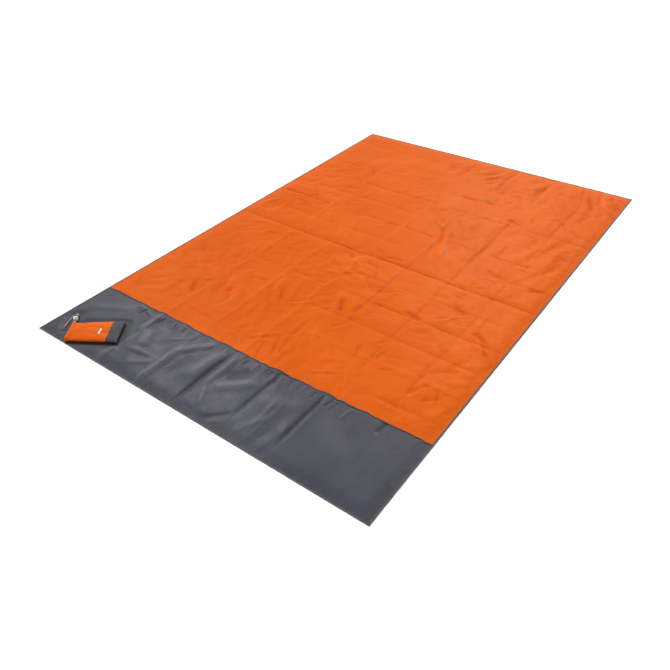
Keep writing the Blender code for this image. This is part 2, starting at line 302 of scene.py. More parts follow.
def braided_tube(line, radius, tips=(1.0, 1.0)):
    """Points, faces and tones of a braided cord along a line, each end drawn in by its tip share."""
    line = resampled(line, BRAID_STEP)
    far = lengths_along(line)
    height, tone = braid_surface(full_turn(BRAID_SIDES), far[:, None])
    reach = radius * (0.84 + 0.20 * height)
    for end, share in ((far, tips[0]), (far[-1] - far, tips[1])):
        if share < 1.0:
            closing = np.clip(end / radius, 0.0, 1.0)
            reach = reach * (share + (1 - share) * np.sqrt(1 - (1 - closing) ** 2))[:, None]
    points = line[:, None] + reach[..., None] * circles_along(line, BRAID_SIDES)
    return points.reshape(-1, 3), tube_faces(len(line), BRAID_SIDES, inside_out=True), tone.ravel()


def joined(parts):
    """Several (points, faces, tones) as one."""
    points, faces, tones, start = [], [], [], 0
    for some_points, some_faces, some_tones in parts:
        points.append(some_points)
        faces += [[index + start for index in face] for face in some_faces]
        tones.append(some_tones)
        start += len(some_points)
    return np.concatenate(points), faces, np.concatenate(tones)


def stitch_row(line, ups=(0.0, 0.0, 1.0), pitch=0.0034, length=0.0027, radius=0.00022):
    """Points and faces of a row of stitches lying on a line, each dipping into the cloth at its ends."""
    ups = np.broadcast_to(ups, line.shape)
    far = lengths_along(line)
    count = int(far[-1] / pitch)
    share = np.array([0.0, 0.18, 0.5, 0.82, 1.0])
    sink = np.array([-0.9, 0.35, 0.6, 0.35, -0.9]) * radius
    thick = np.array([0.5, 1.0, 1.0, 1.0, 0.5]) * radius
    at = (np.arange(count)[:, None] + 0.5) * pitch + (share - 0.5)[None, :] * length
    place, up = at_lengths(at, far, line), at_lengths(at, far, ups)
    run = place[:, -1:] - place[:, :1]
    run = run / np.linalg.norm(run, axis=2)[..., None]
    side = np.cross(run, up)
    ring = np.stack([side, up, -side, -up], 2)
    points = (place + up * sink[None, :, None])[:, :, None] + ring * thick[None, :, None, None]
    one = [[4 * step + k, 4 * step + (k + 1) % 4, 4 * step + 4 + (k + 1) % 4, 4 * step + 4 + k]
           for step in range(4) for k in range(4)] + [[3, 2, 1, 0], [16, 17, 18, 19]]
    faces = (np.array(one)[None] + 20 * np.arange(count)[:, None, None]).reshape(-1, 4).tolist()
    return points.reshape(-1, 3), faces, np.zeros(count * 20)


def add_stitches(name, rows, thread, body, slot, place=Matrix.Identity(4)):
    points, faces, _ = joined(rows)
    finish_piece(add_mesh(name, points, faces, thread, place), body, slot)


# ---------------------------------------------------------------- camera, floor and light

CAMERA_AT = Vector((1.22952, -1.85166, 1.38944))
CAMERA_AIM = Vector((0.17833, -0.48709, 0.0))
CAMERA_ROLL = math.radians(-1.80014)
CAMERA_LENS = 34.87


def add_camera():
    data = bpy.data.cameras.new("camera")
    data.lens = CAMERA_LENS
    data.sensor_width = 36.0
    data.clip_start = 0.01
    camera = bpy.data.objects.new("camera", data)
    back = (CAMERA_AT - CAMERA_AIM).normalized()
    level = Vector((0.0, 0.0, 1.0)).cross(back).normalized()
    upright = back.cross(level)
    right = math.cos(CAMERA_ROLL) * level + math.sin(CAMERA_ROLL) * upright
    up = math.cos(CAMERA_ROLL) * upright - math.sin(CAMERA_ROLL) * level
    turn = Matrix((right, up, back)).transposed().to_4x4()
    camera.matrix_world = Matrix.Translation(CAMERA_AT) @ turn
    bpy.context.scene.collection.objects.link(camera)
    bpy.context.scene.camera = camera


# Sines of the heights between which the room's white dims, and its strength below and above
SKY_FADE = (0.25, 0.34)
HORIZON_STRENGTH = 1.0
SKY_STRENGTH = 0.40
FLOOR_REACH = 30.0


def add_light(name, kind, at, aim, power, colour=(1.0, 1.0, 1.0), **settings):
    data = bpy.data.lights.new(name, kind)
    data.energy = power
    data.color = colour
    for key, value in settings.items():
        setattr(data, key, value)
    light = bpy.data.objects.new(name, data)
    light.location = at
    light.rotation_euler = (Vector(aim) - Vector(at)).to_track_quat("-Z", "Y").to_euler()
    bpy.context.scene.collection.objects.link(light)
    return light


def add_sky():
    """A white room: bright behind the floor's edge, dimmer above."""
    world = bpy.data.worlds.new("studio")
    world.use_nodes = True
    tree = world.node_tree
    direction = tree.nodes.new("ShaderNodeTexCoord")
    height = tree.nodes.new("ShaderNodeSeparateXYZ")
    strength = tree.nodes.new("ShaderNodeMapRange")
    levels = (*SKY_FADE, HORIZON_STRENGTH, SKY_STRENGTH)
    for socket, level in zip(strength.inputs[1:5], levels):
        socket.default_value = level
    background = tree.nodes["Background"]
    background.inputs["Color"].default_value = (1.0, 1.0, 1.0, 1.0)
    tree.links.new(direction.outputs["Generated"], height.inputs[0])
    tree.links.new(height.outputs["Z"], strength.inputs["Value"])
    tree.links.new(strength.outputs["Result"], background.inputs["Strength"])
    bpy.context.scene.world = world


def add_studio():
    add_sky()
    bpy.context.scene.view_settings.view_transform = "Standard"

    key = add_light("key_left", "SUN", (0.0, 0.0, 0.0), (1.30, -0.65, -1.08), 3.9, angle=math.radians(9.0))
    key.visible_glossy = False
    add_light("sheen_left", "AREA", (-3.0, 1.3, 3.1), (0.25, -0.85, 0.0), 28.0,
              shape="RECTANGLE", size=1.0, size_y=1.0)
    add_light("sheen_back", "AREA", (-0.35, 4.9, 2.3), (0.6, 0.5, 0.0), 26.0, (1.0, 0.86, 0.60),
              shape="RECTANGLE", size=2.4, size_y=1.4)
    add_light("pool_back", "SPOT", (-1.45, 4.5, 3.5), (0.44, 0.10, 0.0), 370.0, (0.92, 0.88, 0.72),
              spot_size=math.radians(32.0), spot_blend=1.0, shadow_soft_size=0.5)

    floor_paint = Paint("floor_paint", 0.9, Base_Color=(0.93, 0.93, 0.93), Specular_IOR_Level=0.1)
    corners = [(x * FLOOR_REACH, y * FLOOR_REACH, 0.0) for x, y in ((-1, -1), (1, -1), (1, 1), (-1, 1))]
    floor = add_mesh("floor", corners, [(0, 1, 2, 3)], floor_paint.material)


# ---------------------------------------------------------------- materials

class Paint:
    """A material being made: its shader, and a short way to add and join nodes."""

    def __init__(self, name, roughness, **sockets):
        self.material = bpy.data.materials.new(name)
        self.material.use_nodes = True
        self.tree = self.material.node_tree
        self.shader = self.tree.nodes["Principled BSDF"]
        self.set("Roughness", roughness)
        for name, value in sockets.items():
            self.set(name.replace("_", " "), value)

    def node(self, kind, inputs=(), **settings):
        node = self.tree.nodes.new("ShaderNode" + kind)
        for key, value in settings.items():
            setattr(node, key, value)
        for socket, value in dict(inputs).items():
            self.put(node.inputs[socket], value)
        return node

    def put(self, socket, value):
        if isinstance(value, bpy.types.NodeSocket):
            self.tree.links.new(value, socket)
        else:
            socket.default_value = (*value, 1.0) if socket.type == "RGBA" else value

    def set(self, name, value):
        self.put(self.shader.inputs[name], value)

    def value(self, name):
        return self.node("Attribute", attribute_name=name).outputs["Fac"]

    def place(self):
        return self.node("Attribute", attribute_name="place").outputs["Vector"]

    def math(self, operation, *values):
        node = self.node("Math", operation=operation)
        for socket, value in zip(node.inputs, values):
            self.put(socket, value)
        return node.outputs["Value"]

    def noise(self, scale, detail=2.0, roughness=0.5, distortion=0.0):
        return self.node("TexNoise", {"Vector": self.place(), "Scale": scale, "Detail": detail,
                                      "Roughness": roughness, "Distortion": distortion}).outputs["Fac"]

    def mix(self, share, first, second):
        node = self.node("Mix", data_type="RGBA")
        colours = [socket for socket in node.inputs if socket.type == "RGBA"]
        for socket, value in zip((node.inputs["Factor"], *colours), (share, first, second)):
            self.put(socket, value)
        return next(socket for socket in node.outputs if socket.type == "RGBA")

    def ramp(self, value, low, high, to_low=0.0, to_high=1.0):
        return self.node("MapRange", {"Value": value, "From Min": low, "From Max": high,
                                      "To Min": to_low, "To Max": to_high}).outputs["Result"]

    def bump(self, height, distance, strength=1.0, under=None):
        inputs = {"Height": height, "Distance": distance, "Strength": strength}
        if under is not None:
            inputs["Normal"] = under
        return self.node("Bump", inputs).outputs["Normal"]

    def weave(self, pitch):
        """Two sets of threads crossing, 0 to 1."""
        sets = []
        for direction in ("X", "Y"):
            wave = self.node("TexWave", {"Vector": self.place(), "Scale": 1 / pitch / math.pi,
                                         "Distortion": 0.4, "Detail": 1.0},
                             bands_direction=direction, wave_type="BANDS")
            sets.append(wave.outputs["Fac"])
        return self.math("MULTIPLY", sets[0], sets[1])


# How much deeper than the cloth's own colour the painted shade in crease hollows is.
SHADED_POWER = 1.3


def paint_cloth(name, deep, pale, worn_highlight, roughness, index, tint, crinkled=0.5, print_colour=None):
    """Thin coated polyester: satin, finely woven, crinkled. Paler where packing creased it and on wrinkle
    ridges (wear and painted highlight), darker in their hollows (painted shade).
    """
    paint = Paint(name, roughness, IOR=index, Specular_Tint=tint)
    patches = paint.ramp(paint.noise(4.5, 3.0, 0.55), 0.32, 0.68)
    grain = paint.ramp(paint.noise(160.0, 2.0), 0.3, 0.7, -0.12, 0.12)
    colour = paint.mix(paint.math("ADD", patches, grain), deep, pale)
    tone = paint.value("crease")
    # Above 0 the crease tone mixes in the pale worn colour, partly a painted highlight.
    colour = paint.mix(paint.ramp(tone, 0.0, 1.0, 0.0, 0.22), colour, worn_highlight)
    # Below 0 it mixes in a deeper copy of the colour: painted shade in the hollows.
    shaded = [part ** SHADED_POWER for part in deep]
    colour = paint.mix(paint.ramp(tone, 0.0, -1.0, 0.0, 0.75), colour, shaded)
    if print_colour:
        colour = paint.mix(printed_bar(paint), colour, print_colour)
    paint.set("Base Color", colour)
    rough = paint.ramp(paint.noise(30.0, 3.0), 0.3, 0.7, roughness - 0.05, roughness + 0.07)
    paint.set("Roughness", rough)
    crumple = paint.math("ABSOLUTE", paint.math("SUBTRACT", paint.noise(26.0, 1.5, 0.5, 0.25), 0.5))
    crinkle = paint.math("SUBTRACT", paint.noise(75.0, 3.0, 0.55, 0.2), crumple)
    normal = paint.bump(crinkle, 0.0022, crinkled)
    normal = paint.bump(paint.weave(0.0006), 0.00003, 0.5, normal)
    paint.set("Normal", normal)
    return paint.material


PRINT_AT = (-0.020, 0.004)
PRINT_HALF_LENGTH = 0.013
PRINT_HALF_WIDTH = 0.0028


def printed_bar(paint):
    """1 inside a plain bar with round ends, printed across the sack."""
    x, y = paint.node("SeparateXYZ", {"Vector": paint.place()}).outputs[:2]
    along = paint.math("ABSOLUTE", paint.math("SUBTRACT", y, PRINT_AT[1]))
    along = paint.math("MAXIMUM", paint.math("SUBTRACT", along, PRINT_HALF_LENGTH), 0.0)
    across = paint.math("SUBTRACT", x, PRINT_AT[0])
    reach = paint.math("SQRT", paint.math("ADD", paint.math("MULTIPLY", along, along),
                                          paint.math("MULTIPLY", across, across)))
    edge = PRINT_HALF_WIDTH * 0.06
    inside = paint.ramp(reach, PRINT_HALF_WIDTH - edge, PRINT_HALF_WIDTH + edge, 0.9, 0.0)
    return paint.math("MULTIPLY", inside, paint.ramp(paint.noise(900.0, 2.0), 0.25, 0.4, 0.75, 1.0))


def paint_tape():
    """Matt woven tape: fine ribs and a little lint."""
    paint = Paint("grey_tape", 0.78, Specular_IOR_Level=0.25, Sheen_Weight=0.25, Sheen_Roughness=0.5)
    shade = paint.ramp(paint.noise(220.0, 3.0), 0.3, 0.7)
    paint.set("Base Color", paint.mix(shade, (0.050, 0.050, 0.058), (0.085, 0.083, 0.090)))
    paint.set("Normal", paint.bump(paint.weave(0.0009), 0.00012, 0.8))
    return paint.material


def paint_thread(name, deep, pale):
    paint = Paint(name, 0.6, Specular_IOR_Level=0.4, Sheen_Weight=0.3)
    shade = paint.ramp(paint.noise(1500.0, 2.0), 0.3, 0.7)
    paint.set("Base Color", paint.mix(shade, deep, pale))
    paint.set("Normal", paint.bump(paint.noise(4000.0), 0.00005, 0.6))
    return paint.material


def paint_braid():
    """Two shades of strand, each of fine filaments."""
    paint = Paint("cord_braid_two_tone", 0.72, Specular_IOR_Level=0.3, Sheen_Weight=0.35,
                  Sheen_Roughness=0.5)
    strand = paint.mix(paint.value("tone"), (0.40, 0.35, 0.335), (0.105, 0.088, 0.085))
    fuzz = paint.ramp(paint.noise(1300.0, 3.0), 0.3, 0.7)
    paint.set("Base Color", paint.mix(paint.math("MULTIPLY", fuzz, 0.35), strand, (0.24, 0.21, 0.20)))
    paint.set("Normal", paint.bump(paint.noise(5200.0, 2.0), 0.00008, 0.7))
    return paint.material


def paint_plastic():
    """Moulded white plastic: faint orange peel and a trace of handling."""
    paint = Paint("moulded_white", 0.32, Specular_IOR_Level=0.5, Subsurface_Weight=0.06)
    paint.set("Subsurface Radius", (0.002, 0.0018, 0.0015))
    paint.set("Subsurface Scale", 1.0)
    marks = paint.ramp(paint.noise(260.0, 4.0, 0.6), 0.45, 0.75)
    share = paint.math("MULTIPLY", marks, 0.5)
    paint.set("Base Color", paint.mix(share, (0.84, 0.835, 0.82), (0.74, 0.725, 0.70)))
    paint.set("Roughness", paint.ramp(marks, 0.0, 1.0, 0.28, 0.42))
    paint.set("Normal", paint.bump(paint.noise(700.0, 1.0), 0.00003, 0.4))
    return paint.material


def paint_wire():
    paint = Paint("drawn_wire", 0.3, Metallic=1.0)
    lines = paint.node("TexNoise", {"Scale": 2400.0, "Detail": 2.0}).outputs["Fac"]
    shade = paint.ramp(lines, 0.3, 0.7)
    paint.set("Base Color", paint.mix(shade, (0.50, 0.50, 0.51), (0.62, 0.61, 0.60)))
    paint.set("Roughness", paint.ramp(lines, 0.3, 0.7, 0.22, 0.40))
    return paint.material


# ---------------------------------------------------------------- drawcord

def smooth_route(points, spacing):
    """Points about a spacing apart on a centripetal Catmull-Rom curve through the route."""
    points = [Vector(point) for point in points]
    chain = [2 * points[0] - points[1], *points, 2 * points[-1] - points[-2]]
    result = []
    for before, start, end, after in zip(chain, chain[1:], chain[2:], chain[3:]):
        knots = [0.0]
        for one, two in ((before, start), (start, end), (end, after)):
            knots.append(knots[-1] + math.sqrt((two - one).length))

        def between(one, two, low, high, at):
            return one.lerp(two, (at - knots[low]) / (knots[high] - knots[low]))

        pieces = max(1, round((end - start).length / spacing))
        for step in range(pieces):
            at = knots[1] + (knots[2] - knots[1]) * step / pieces
            first = between(before, start, 0, 1, at)
            second = between(start, end, 1, 2, at)
            third = between(end, after, 2, 3, at)
            near = between(first, second, 0, 2, at)
            far = between(second, third, 1, 3, at)
            result.append(between(near, far, 1, 2, at))
    result.append(points[-1])
    return np.array(result)


def beside(points, offset):
    """The same route shifted sideways in plan, to the left of its direction."""
    points = np.array(points, float)
    run = np.empty_like(points)
    run[1:-1] = points[2:] - points[:-2]
    run[0], run[-1] = points[1] - points[0], points[-1] - points[-2]
    run /= np.hypot(run[:, 0], run[:, 1])[:, None]
    shifted = points.copy()
    shifted[:, 0] -= run[:, 1] * offset
    shifted[:, 1] += run[:, 0] * offset
    return shifted


def round_the_mouth(start):
    """The middle of the hem round the mouth: its top run, the turn at the far side, its bottom run."""
    turn = np.linspace(math.pi / 2, -math.pi / 2, 25)
    y = np.concatenate([[start], MOUTH_TURN_Y + CORD_RUN_Z * np.cos(turn), [start]])
    z = SACK_MID_Z + CORD_RUN_Z * np.concatenate([[1], np.sin(turn), [-1]])
    return points_at(HEM_MID_X, y, z)


def add_braid(name, node, tubes):
    points, faces, tones = joined(tubes)
    piece = add_mesh(name, points, faces, braid, SACK_PLACE, {"tone": tones})
    finish_piece(piece, "sack", "cord_braid", node)
    return piece


def build_drawcord():
    """The loop in the hem, the two tails, and the knot that joins them."""
    loop = braided_tube(round_the_mouth(CORD_START), CORD_DIAMETER / 2)
    add_braid("drawcord_in_hem", "drawcord_loop", [loop])

    tails = []
    for letter, height, offset in (("a", CORD_RUN_Z, TAIL_OFFSET), ("b", -CORD_RUN_Z, -TAIL_OFFSET)):
        inside = [(HEM_MID_X, CORD_START - GAP, SACK_MID_Z + height),
                  (HEM_MID_X, -SACK_MOUTH_WIDTH / 2 - GAP, SACK_MID_Z + height)]
        route = smooth_route(inside + [tuple(point) for point in beside(TAIL_ROUTE, offset)], 0.001)
        tube = braided_tube(route, CORD_DIAMETER / 2)
        piece = add_braid(f"drawcord_{letter}", f"drawcord_tail_{letter}", [tube])
        tails.append((piece, np.array([SACK_PLACE @ Vector(point) for point in route])))
    return tails, build_knot()


KNOT_TURN = 0.00098
KNOT_RISE = 0.0019
KNOT_CORD = 0.00158
KNOT_LIFT = 0.0002


def build_knot():
    """Both cords tied in one tight overhand knot, with two short melted ends."""
    around = np.linspace(0.0, math.tau * 1.015, 260)
    turns = points_at(KNOT_TURN * (np.sin(around) + 2 * np.sin(2 * around)),
                      KNOT_TURN * (np.cos(around) - 2 * np.cos(2 * around)),
                      -KNOT_RISE * np.sin(3 * around)) + KNOT_CENTRE + (0.0, 0.0, KNOT_LIFT)
    parts = [braided_tube(turns, KNOT_CORD)]
    x, y, z = KNOT_CENTRE
    for side, lift in ((-1, 0.0), (1, 0.0008)):
        tip = [(x, y, z), (x + side * 0.0014, y + 0.0040, z - 0.0006 + lift),
               (x + side * 0.0024, y + 0.0080, z - 0.0016 + lift),
               (x + side * 0.0036, y + 0.0115, CORD_REST_Z + lift)]
        parts.append(braided_tube(smooth_route(tip, 0.0005), CORD_DIAMETER / 2, (1.0, 0.25)))
    return add_braid("overhand_knot", "cord_knot", parts)


# ---------------------------------------------------------------- cord lock

BARREL_POWER = 2.6
BARREL_RIM_Z = 0.0065
BORE_RADIUS = 0.0050
BORE_FLOOR_Z = -0.0070
BUTTON_FACE_RADIUS = 0.0026
BUTTON_ROUNDING = 0.0021
BUTTON_HOLLOW = 0.0006
PLUNGER_RADIUS = BUTTON_FACE_RADIUS + BUTTON_ROUNDING
PLUNGER_TOP_Z = 0.0090
PLUNGER_FLOOR_Z = -0.0029
PRESS_TRAVEL = 0.0020
BORE_CHAMFER = 0.0004
EDGE_CHAMFER = 0.0003
SLOT_HALF_WIDTH = 0.00365
SLOT_HALF_HEIGHT = 0.0019
SLOT_EDGE_ROUNDING = 0.00022
TURN_STEPS = 72


def turned(name, profile, material, place):
    """A turned solid. The profile is (radius, height) pairs from its axis round to its axis."""
    angle = full_turn(TURN_STEPS)
    radius, height = np.array(profile).T[..., None]
    points = points_at(radius * np.cos(angle), radius * np.sin(angle), height)
    faces = grid_faces(len(profile), TURN_STEPS, wrap_columns=True)
    return add_mesh(name, points, faces, material, place, weld=True)


def slot_cutter(low, high):
    """A slot with round corners, through the lock along the cords."""
    corner = SLOT_HALF_HEIGHT * 0.98
    right, high, low = SLOT_HALF_WIDTH - corner, high - corner, low + corner
    points = []
    for quarter, (x, z) in enumerate(((right, high), (-right, high), (-right, low), (right, low))):
        for step in range(9):
            angle = (quarter + step / 8) * math.pi / 2
            points.append((x + corner * math.cos(angle), z + corner * math.sin(angle)))
    depth = 2 * BARREL_RADIUS
    verts = [(x, y, z) for y in (-depth, depth) for x, z in points]
    return add_mesh("slot_cutter", verts, tube_faces(2, len(points)), plastic, lock_place, weld=True)


def cut_and_apply(obj, cutter):
    boolean = obj.modifiers.new("slot", "BOOLEAN")
    boolean.solver = "EXACT"
    boolean.object = cutter
    bevel = obj.modifiers.new("edges", "BEVEL")
    bevel.width = SLOT_EDGE_ROUNDING
    bevel.segments = 2
    bevel.limit_method = "ANGLE"
    bevel.angle_limit = math.radians(35)
    bpy.context.view_layer.update()
    mesh = bpy.data.meshes.new_from_object(obj.evaluated_get(bpy.context.evaluated_depsgraph_get()))
    obj.modifiers.clear()
    obj.data = mesh
    mesh.shade_smooth()
    mesh.set_sharp_from_angle(angle=math.radians(50))
    bpy.data.objects.remove(cutter, do_unlink=True)


def build_lock():
    outer = []
    for step in range(33):
        height = BARREL_RIM_Z - (BARREL_RIM_Z + BARREL_RADIUS) * (1 - math.cos(math.pi * step / 32)) / 2
        share = max(1 - (abs(height) / BARREL_RADIUS) ** BARREL_POWER, 0.0)
        outer.append((BARREL_RADIUS * share ** (1 / BARREL_POWER), height))
    bore = [(0.0, BORE_FLOOR_Z), (BORE_RADIUS - BORE_CHAMFER, BORE_FLOOR_Z),
            (BORE_RADIUS, BORE_FLOOR_Z + BORE_CHAMFER), (BORE_RADIUS, BARREL_RIM_Z - EDGE_CHAMFER),
            (BORE_RADIUS + EDGE_CHAMFER, BARREL_RIM_Z)]
    barrel = turned("cord_lock_ball", bore + outer, plastic, lock_place)
    cut_and_apply(barrel, slot_cutter(-SLOT_HALF_HEIGHT, SLOT_HALF_HEIGHT))
    finish_piece(barrel, "cord_lock", "white_plastic", "cord_lock_barrel")

    top = [(BUTTON_FACE_RADIUS * share, PLUNGER_TOP_Z - BUTTON_HOLLOW * (1 - share * share))
           for share in np.arange(9) / 8]
    for angle in math.pi / 2 * np.arange(1, 11) / 10:
        top.append((BUTTON_FACE_RADIUS + BUTTON_ROUNDING * math.sin(angle),
                    PLUNGER_TOP_Z - BUTTON_ROUNDING * (1 - math.cos(angle))))
    stem = [(PLUNGER_RADIUS, PLUNGER_FLOOR_Z + EDGE_CHAMFER),
            (PLUNGER_RADIUS - EDGE_CHAMFER, PLUNGER_FLOOR_Z), (0.0, PLUNGER_FLOOR_Z)]
    plunger = turned("cord_lock_button", top + stem, plastic, lock_place)
    cut_and_apply(plunger, slot_cutter(-SLOT_HALF_HEIGHT, SLOT_HALF_HEIGHT + PRESS_TRAVEL))
    finish_piece(plunger, "lock_plunger", "white_plastic", "cord_lock_plunger")

    return barrel, plunger, build_spring()


SPRING_RADIUS = 0.0032
SPRING_WIRE = 0.0005
SPRING_TURNS = 3
SPRING_CLEARANCE = 0.0003
WIRE_SIDES = 12


def build_spring():
    """A coil between the bottom of the bore and the plunger."""
    low = BORE_FLOOR_Z + SPRING_CLEARANCE + SPRING_WIRE / 2
    high = PLUNGER_FLOOR_Z - SPRING_CLEARANCE - SPRING_WIRE / 2
    turn = np.linspace(0.0, math.tau * SPRING_TURNS, 40 * SPRING_TURNS + 1)
    line = points_at(SPRING_RADIUS * np.cos(turn), SPRING_RADIUS * np.sin(turn),
                     low + (high - low) * turn / turn[-1])
    points = line[:, None] + SPRING_WIRE / 2 * circles_along(line, WIRE_SIDES)
    faces = tube_faces(len(line), WIRE_SIDES, inside_out=True)
    spring = add_mesh("lock_spring", points, faces, paint_wire(), lock_place)
    finish_piece(spring, "cord_lock", "spring_steel", "cord_lock_spring")
    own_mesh(spring)
    return spring


# ---------------------------------------------------------------- blanket cloth

# Cross creases: row of the packing grid, from and to across the blanket, depth in mm (below 0 is a hollow)
CROSS_CREASES = [
    (7, -0.70, 0.70, -0.7), (6, -0.35, 0.30, -0.9), (6, 0.25, 0.70, -1.0), (5, -0.70, 0.05, -0.9),
    (5, 0.05, 0.22, -1.7), (4, -0.44, 0.00, -1.8), (4, 0.08, 0.38, -1.9), (4, 0.44, 0.70, -1.5),
    (3, -0.70, -0.05, -0.9), (3, 0.30, 0.70, -1.0), (2, -0.68, -0.40, -2.0), (2, -0.25, 0.15, -1.2),
    (2, 0.30, 0.62, -1.2), (1, -0.55, 0.05, -0.9), (1, 0.35, 0.70, -1.0), (0, -0.62, 0.70, -2.3),
    (-1, -0.20, 0.70, -1.0), (-2, -0.60, 0.30, -0.7), (-2, 0.20, 0.70, -1.5), (-3, 0.00, 0.70, -1.1),
    (-4, 0.05, 0.70, 0.9), (-5, -0.35, 0.70, -0.7),
]
# Long creases: column of the grid, from and to along the blanket, height in mm
LONG_CREASES = [
    (-3, -0.60, 0.70, 0.5), (-2, -1.05, 0.02, 1.6), (-2, 0.08, 0.30, 1.5), (-2, 0.55, 1.05, 0.8),
    (-1, -1.05, 0.25, 1.4), (-1, 0.50, 1.05, 0.7), (0, -0.75, 0.45, 1.5), (0, 0.45, 0.80, 0.8),
    (1, -0.35, 0.30, -1.5), (1, 0.30, 0.75, 1.1), (1, 0.78, 1.05, -1.3), (2, 0.05, 0.58, -2.2),
    (2, -0.60, 0.05, -1.2), (2, 0.75, 1.05, -1.6), (3, -0.70, 0.10, -0.7), (3, 0.30, 0.90, -1.0),
]
# Wrinkles that stand out: place across and along, angle, length, width and height, in mm and degrees
ORANGE_WRINKLES = [
    (-46, 900, 88, 200, 16, -3), (-130, 900, -70, 110, 22, -2), (62, 918, 54, 210, 13, -3.2),
    (92, 880, 52, 130, 10, -2.2), (25, 935, 56, 160, 12, 2.4), (156, 905, 90, 190, 8, -2.4),
    (240, 815, 43, 170, 10, -2), (338, 890, 84, 150, 9, -2.2), (322, 822, -25, 60, 9, -2.4),
    (507, 962, -74, 150, 11, -3.4), (570, 895, -62, 160, 13, -2.8), (655, 950, -58, 170, 15, -2.8),
    (672, 850, -50, 130, 12, -2.8), (615, 940, -66, 150, 13, 2.4), (540, 745, 88, 110, 8, -2.4),
    (590, 730, 84, 100, 12, -1.6), (180, 662, -25, 60, 11, -3), (100, 650, -4, 100, 10, -2.2),
    (415, 615, -72, 70, 7, -2.4), (362, 556, -14, 85, 11, -3.6), (545, 640, -60, 80, 8, -2),
    (610, 600, -30, 90, 9, -1.8), (-310, 830, 60, 160, 18, 1.8), (-460, 740, 75, 140, 18, 1.6),
    (-240, 700, 35, 120, 14, 1.8), (40, 560, 80, 200, 24, 2.6), (150, 290, -68, 180, 11, -3),
    (205, 210, -74, 200, 12, 2.8), (120, 380, -80, 130, 10, 2.2), (190, 310, -60, 70, 9, -2.4),
    (240, 430, -86, 150, 12, -1.6), (470, 140, -20, 100, 9, -2.2), (645, 130, 22, 80, 11, -3),
    (420, 330, 88, 120, 10, -1.6), (-350, 190, -60, 120, 12, 1.8), (-500, 290, -48, 110, 9, -1.8),
    (-62, -52, -42, 80, 10, -2.8), (-20, -80, -30, 90, 10, 2.6), (40, -60, -8, 90, 10, -2.2),
    (100, -345, -60, 110, 12, -3.6), (60, -300, -55, 90, 11, 2.4), (345, -255, -12, 90, 11, -3.2),
    (590, -232, -28, 80, 11, -3.4), (632, -285, -54, 110, 12, -3.6), (605, -262, -46, 110, 11, 3),
    (-175, -360, -70, 150, 12, 2.6), (-120, -420, -56, 100, 10, -2.4), (-335, -455, -66, 130, 12, 2.6),
    (-290, -520, -50, 90, 11, -2.2), (-520, -440, -46, 200, 12, 2.2), (-600, -340, -44, 160, 11, -1.8),
    (-435, -560, -50, 100, 10, -2.6), (290, -520, -72, 90, 9, -2.4), (365, -500, 80, 80, 9, -2),
    (470, -140, -35, 80, 9, -2.2), (120, -520, -60, 100, 10, 2),
]
GREY_WRINKLES = [
    (-388, -800, 90, 140, 15, 4.6), (-392, -990, 88, 130, 14, 4), (-345, -872, -62, 120, 22, 7),
    (-240, -803, 40, 130, 13, 2.8), (-150, -805, 48, 170, 20, 5.6), (-197, -930, 90, 260, 18, 5.6),
    (-290, -932, 9, 170, 14, 3.4), (-262, -965, 38, 130, 16, 3.2), (-66, -850, 84, 200, 26, 6.4),
    (-36, -890, 90, 380, 10, -4), (-4, -835, 90, 210, 16, 4.2), (76, -866, 40, 180, 22, 5.6),
    (60, -820, 50, 110, 26, -3.4), (159, -850, 88, 260, 8, -3), (118, -1000, 45, 130, 12, -2.2),
    (337, -860, 90, 280, 9, -3.4), (548, -760, 85, 70, 8, -2.4), (-580, -825, 30, 210, 22, 2.6),
    (250, -850, 24, 200, 32, 2.2), (450, -880, -35, 220, 34, 1.4), (-150, -900, 78, 170, 18, -2.6),
    (-455, -760, -15, 120, 12, 2), (15, -960, -62, 110, 12, 2), (230, -960, 65, 130, 14, 1.8),
]
RANDOM_WRINKLES = 300
SEAM_PUCKERS = 36
CLOTH_REST = 0.0048
EDGE_REST = 0.0006
PRESSED_REST = 0.0003
FLAT_MARGIN = 0.030
FOLD_LIMIT = 0.0019
FOLD_SLOPE = 0.12
FOLD_BAND = 0.013
FOLD_ROWS = 24


def spread_wrinkles():
    """The wrinkles that stand out, many small random ones, and the puckers along the seam."""
    chance = random.Random(11)
    found = []
    for x, y, angle, length, width, height in ORANGE_WRINKLES + GREY_WRINKLES:
        found.append(((x / 1000, y / 1000), angle, length / 1000, width / 1000, height / 1000,
                      chance.uniform(-0.12, 0.16), chance.uniform(0.0, 0.35)))
    for step in range(5):
        at = (0.268 + 0.016 * step, 0.708 - 0.005 * step)
        found.append((at, 46, 0.045 + 0.004 * (step % 3), 0.0055, -0.0016, 0.1, 0.4))
    for _ in range(RANDOM_WRINKLES):
        at = (chance.uniform(-0.68, 0.68), chance.uniform(-0.71, 1.03))
        angle, length = chance.uniform(-100, 60), chance.uniform(0.040, 0.140)
        width, height = chance.uniform(0.0060, 0.012), chance.uniform(0.0004, 0.0017)
        calm = at[0] < -0.15 and at[1] > 0.72
        found.append((at, angle, length, width, height * chance.choice((-1, 1)) * (0.3 if calm else 1.0),
                      chance.uniform(-0.3, 0.3), chance.uniform(0.2, 0.9)))
    for _ in range(SEAM_PUCKERS):
        length = chance.uniform(0.025, 0.070)
        at = (chance.uniform(-0.50, 0.44), SEAM_Y - 0.010 - length * 0.42)
        found.append((at, chance.uniform(-115, -60), length, chance.uniform(0.004, 0.007),
                      chance.choice((-1, -1, 1)) * chance.uniform(0.0010, 0.0026), 0.2, 0.3))
    return found


CREASE_RELIEF = 1.6
# A wrinkle's rise is painted into its tone: ridges paler (wear and painted highlight), hollows darker
# (painted shade).
WRINKLE_TONE = 260.0
CREASE_WIDTH = 0.0085
CREASE_TONE_WIDTH = 0.0042


